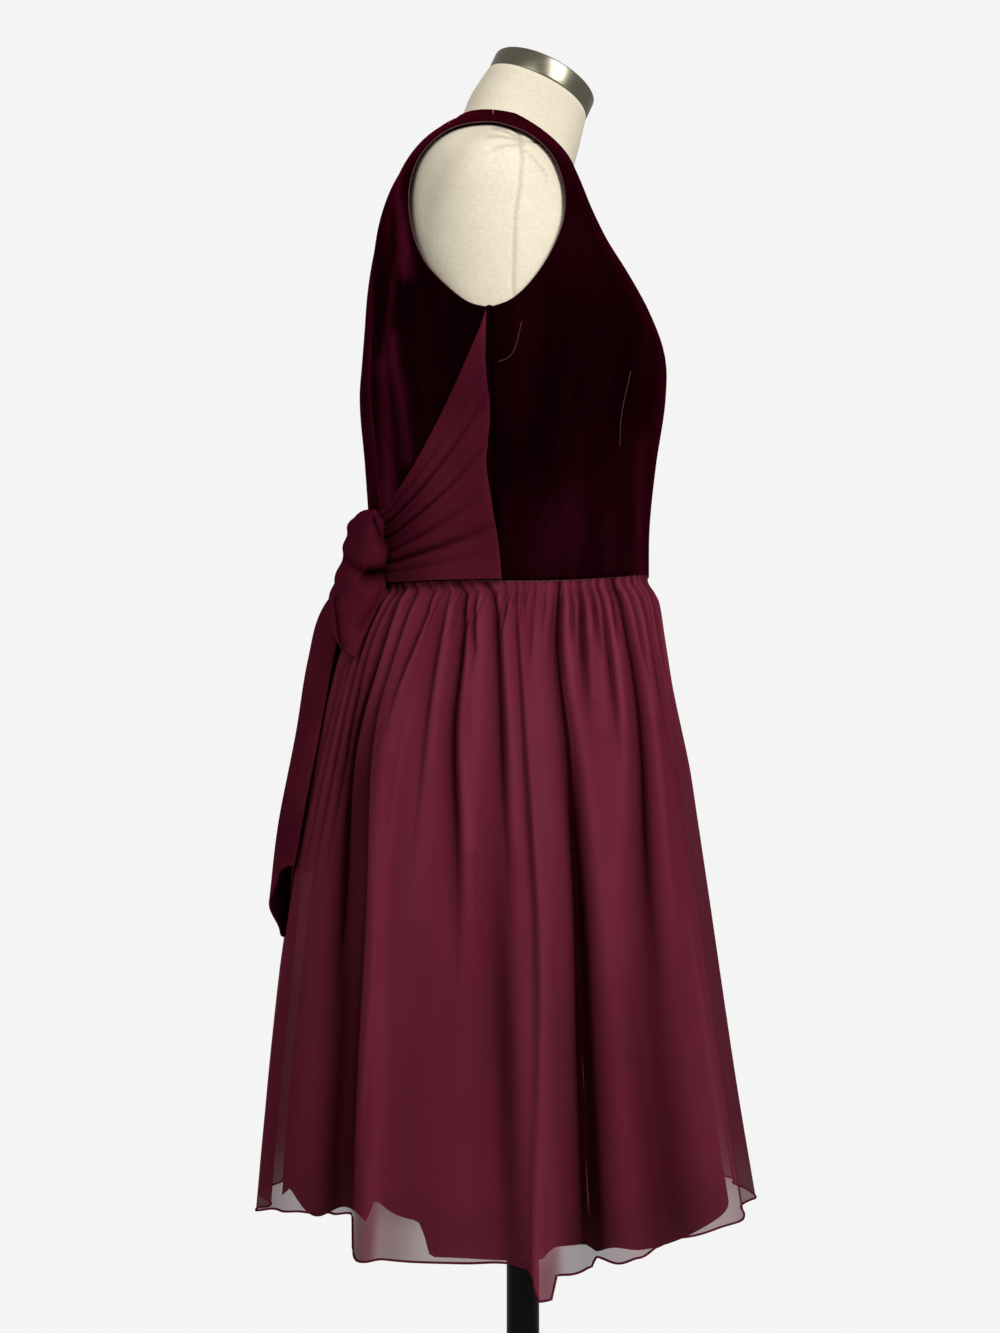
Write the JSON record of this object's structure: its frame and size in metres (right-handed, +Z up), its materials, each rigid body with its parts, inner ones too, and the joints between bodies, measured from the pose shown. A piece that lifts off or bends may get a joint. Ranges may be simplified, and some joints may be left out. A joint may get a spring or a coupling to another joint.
{
  "type": "velvet dress on a limbless dress form",
  "caption": "Sleeveless dress with velvet bodice, back bow sash and gathered chiffon skirt over a lining, standing on a limbless linen dress form with pole and round foot",
  "frame": {"origin": "on the floor, under the middle of the whole part's bounding box", "axes": "+Z is up, the wearer faces -Y, the wearer's left is +X and their right is -X"},
  "size_m": [0.5112, 0.409, 1.4895],
  "materials": {
    "velvet": "very dark burgundy cotton velvet with a short nap",
    "chiffon": "burgundy chiffon, thin and slightly see-through",
    "crepe": "matte burgundy crepe",
    "lining": "plain woven lining with a faint sheen",
    "linen": "natural unbleached linen",
    "nickel": "brushed nickel",
    "black_paint": "glossy black paint"
  },
  "bodies": {
    "root": {"form_torso": "linen", "form_neck_cap": "nickel", "form_pole": "black_paint", "form_foot": "black_paint", "bodice_front": "velvet", "bodice_back": "velvet", "sash_right": "crepe", "sash_left": "crepe", "bow_knot": "crepe", "bow_loop_right": "crepe", "bow_loop_left": "crepe", "bow_tail_right": "crepe", "bow_tail_left": "crepe", "skirt_front": "chiffon", "skirt_back": "chiffon", "lining_front": "lining", "lining_back": "lining"}
  },
  "joints": []
}
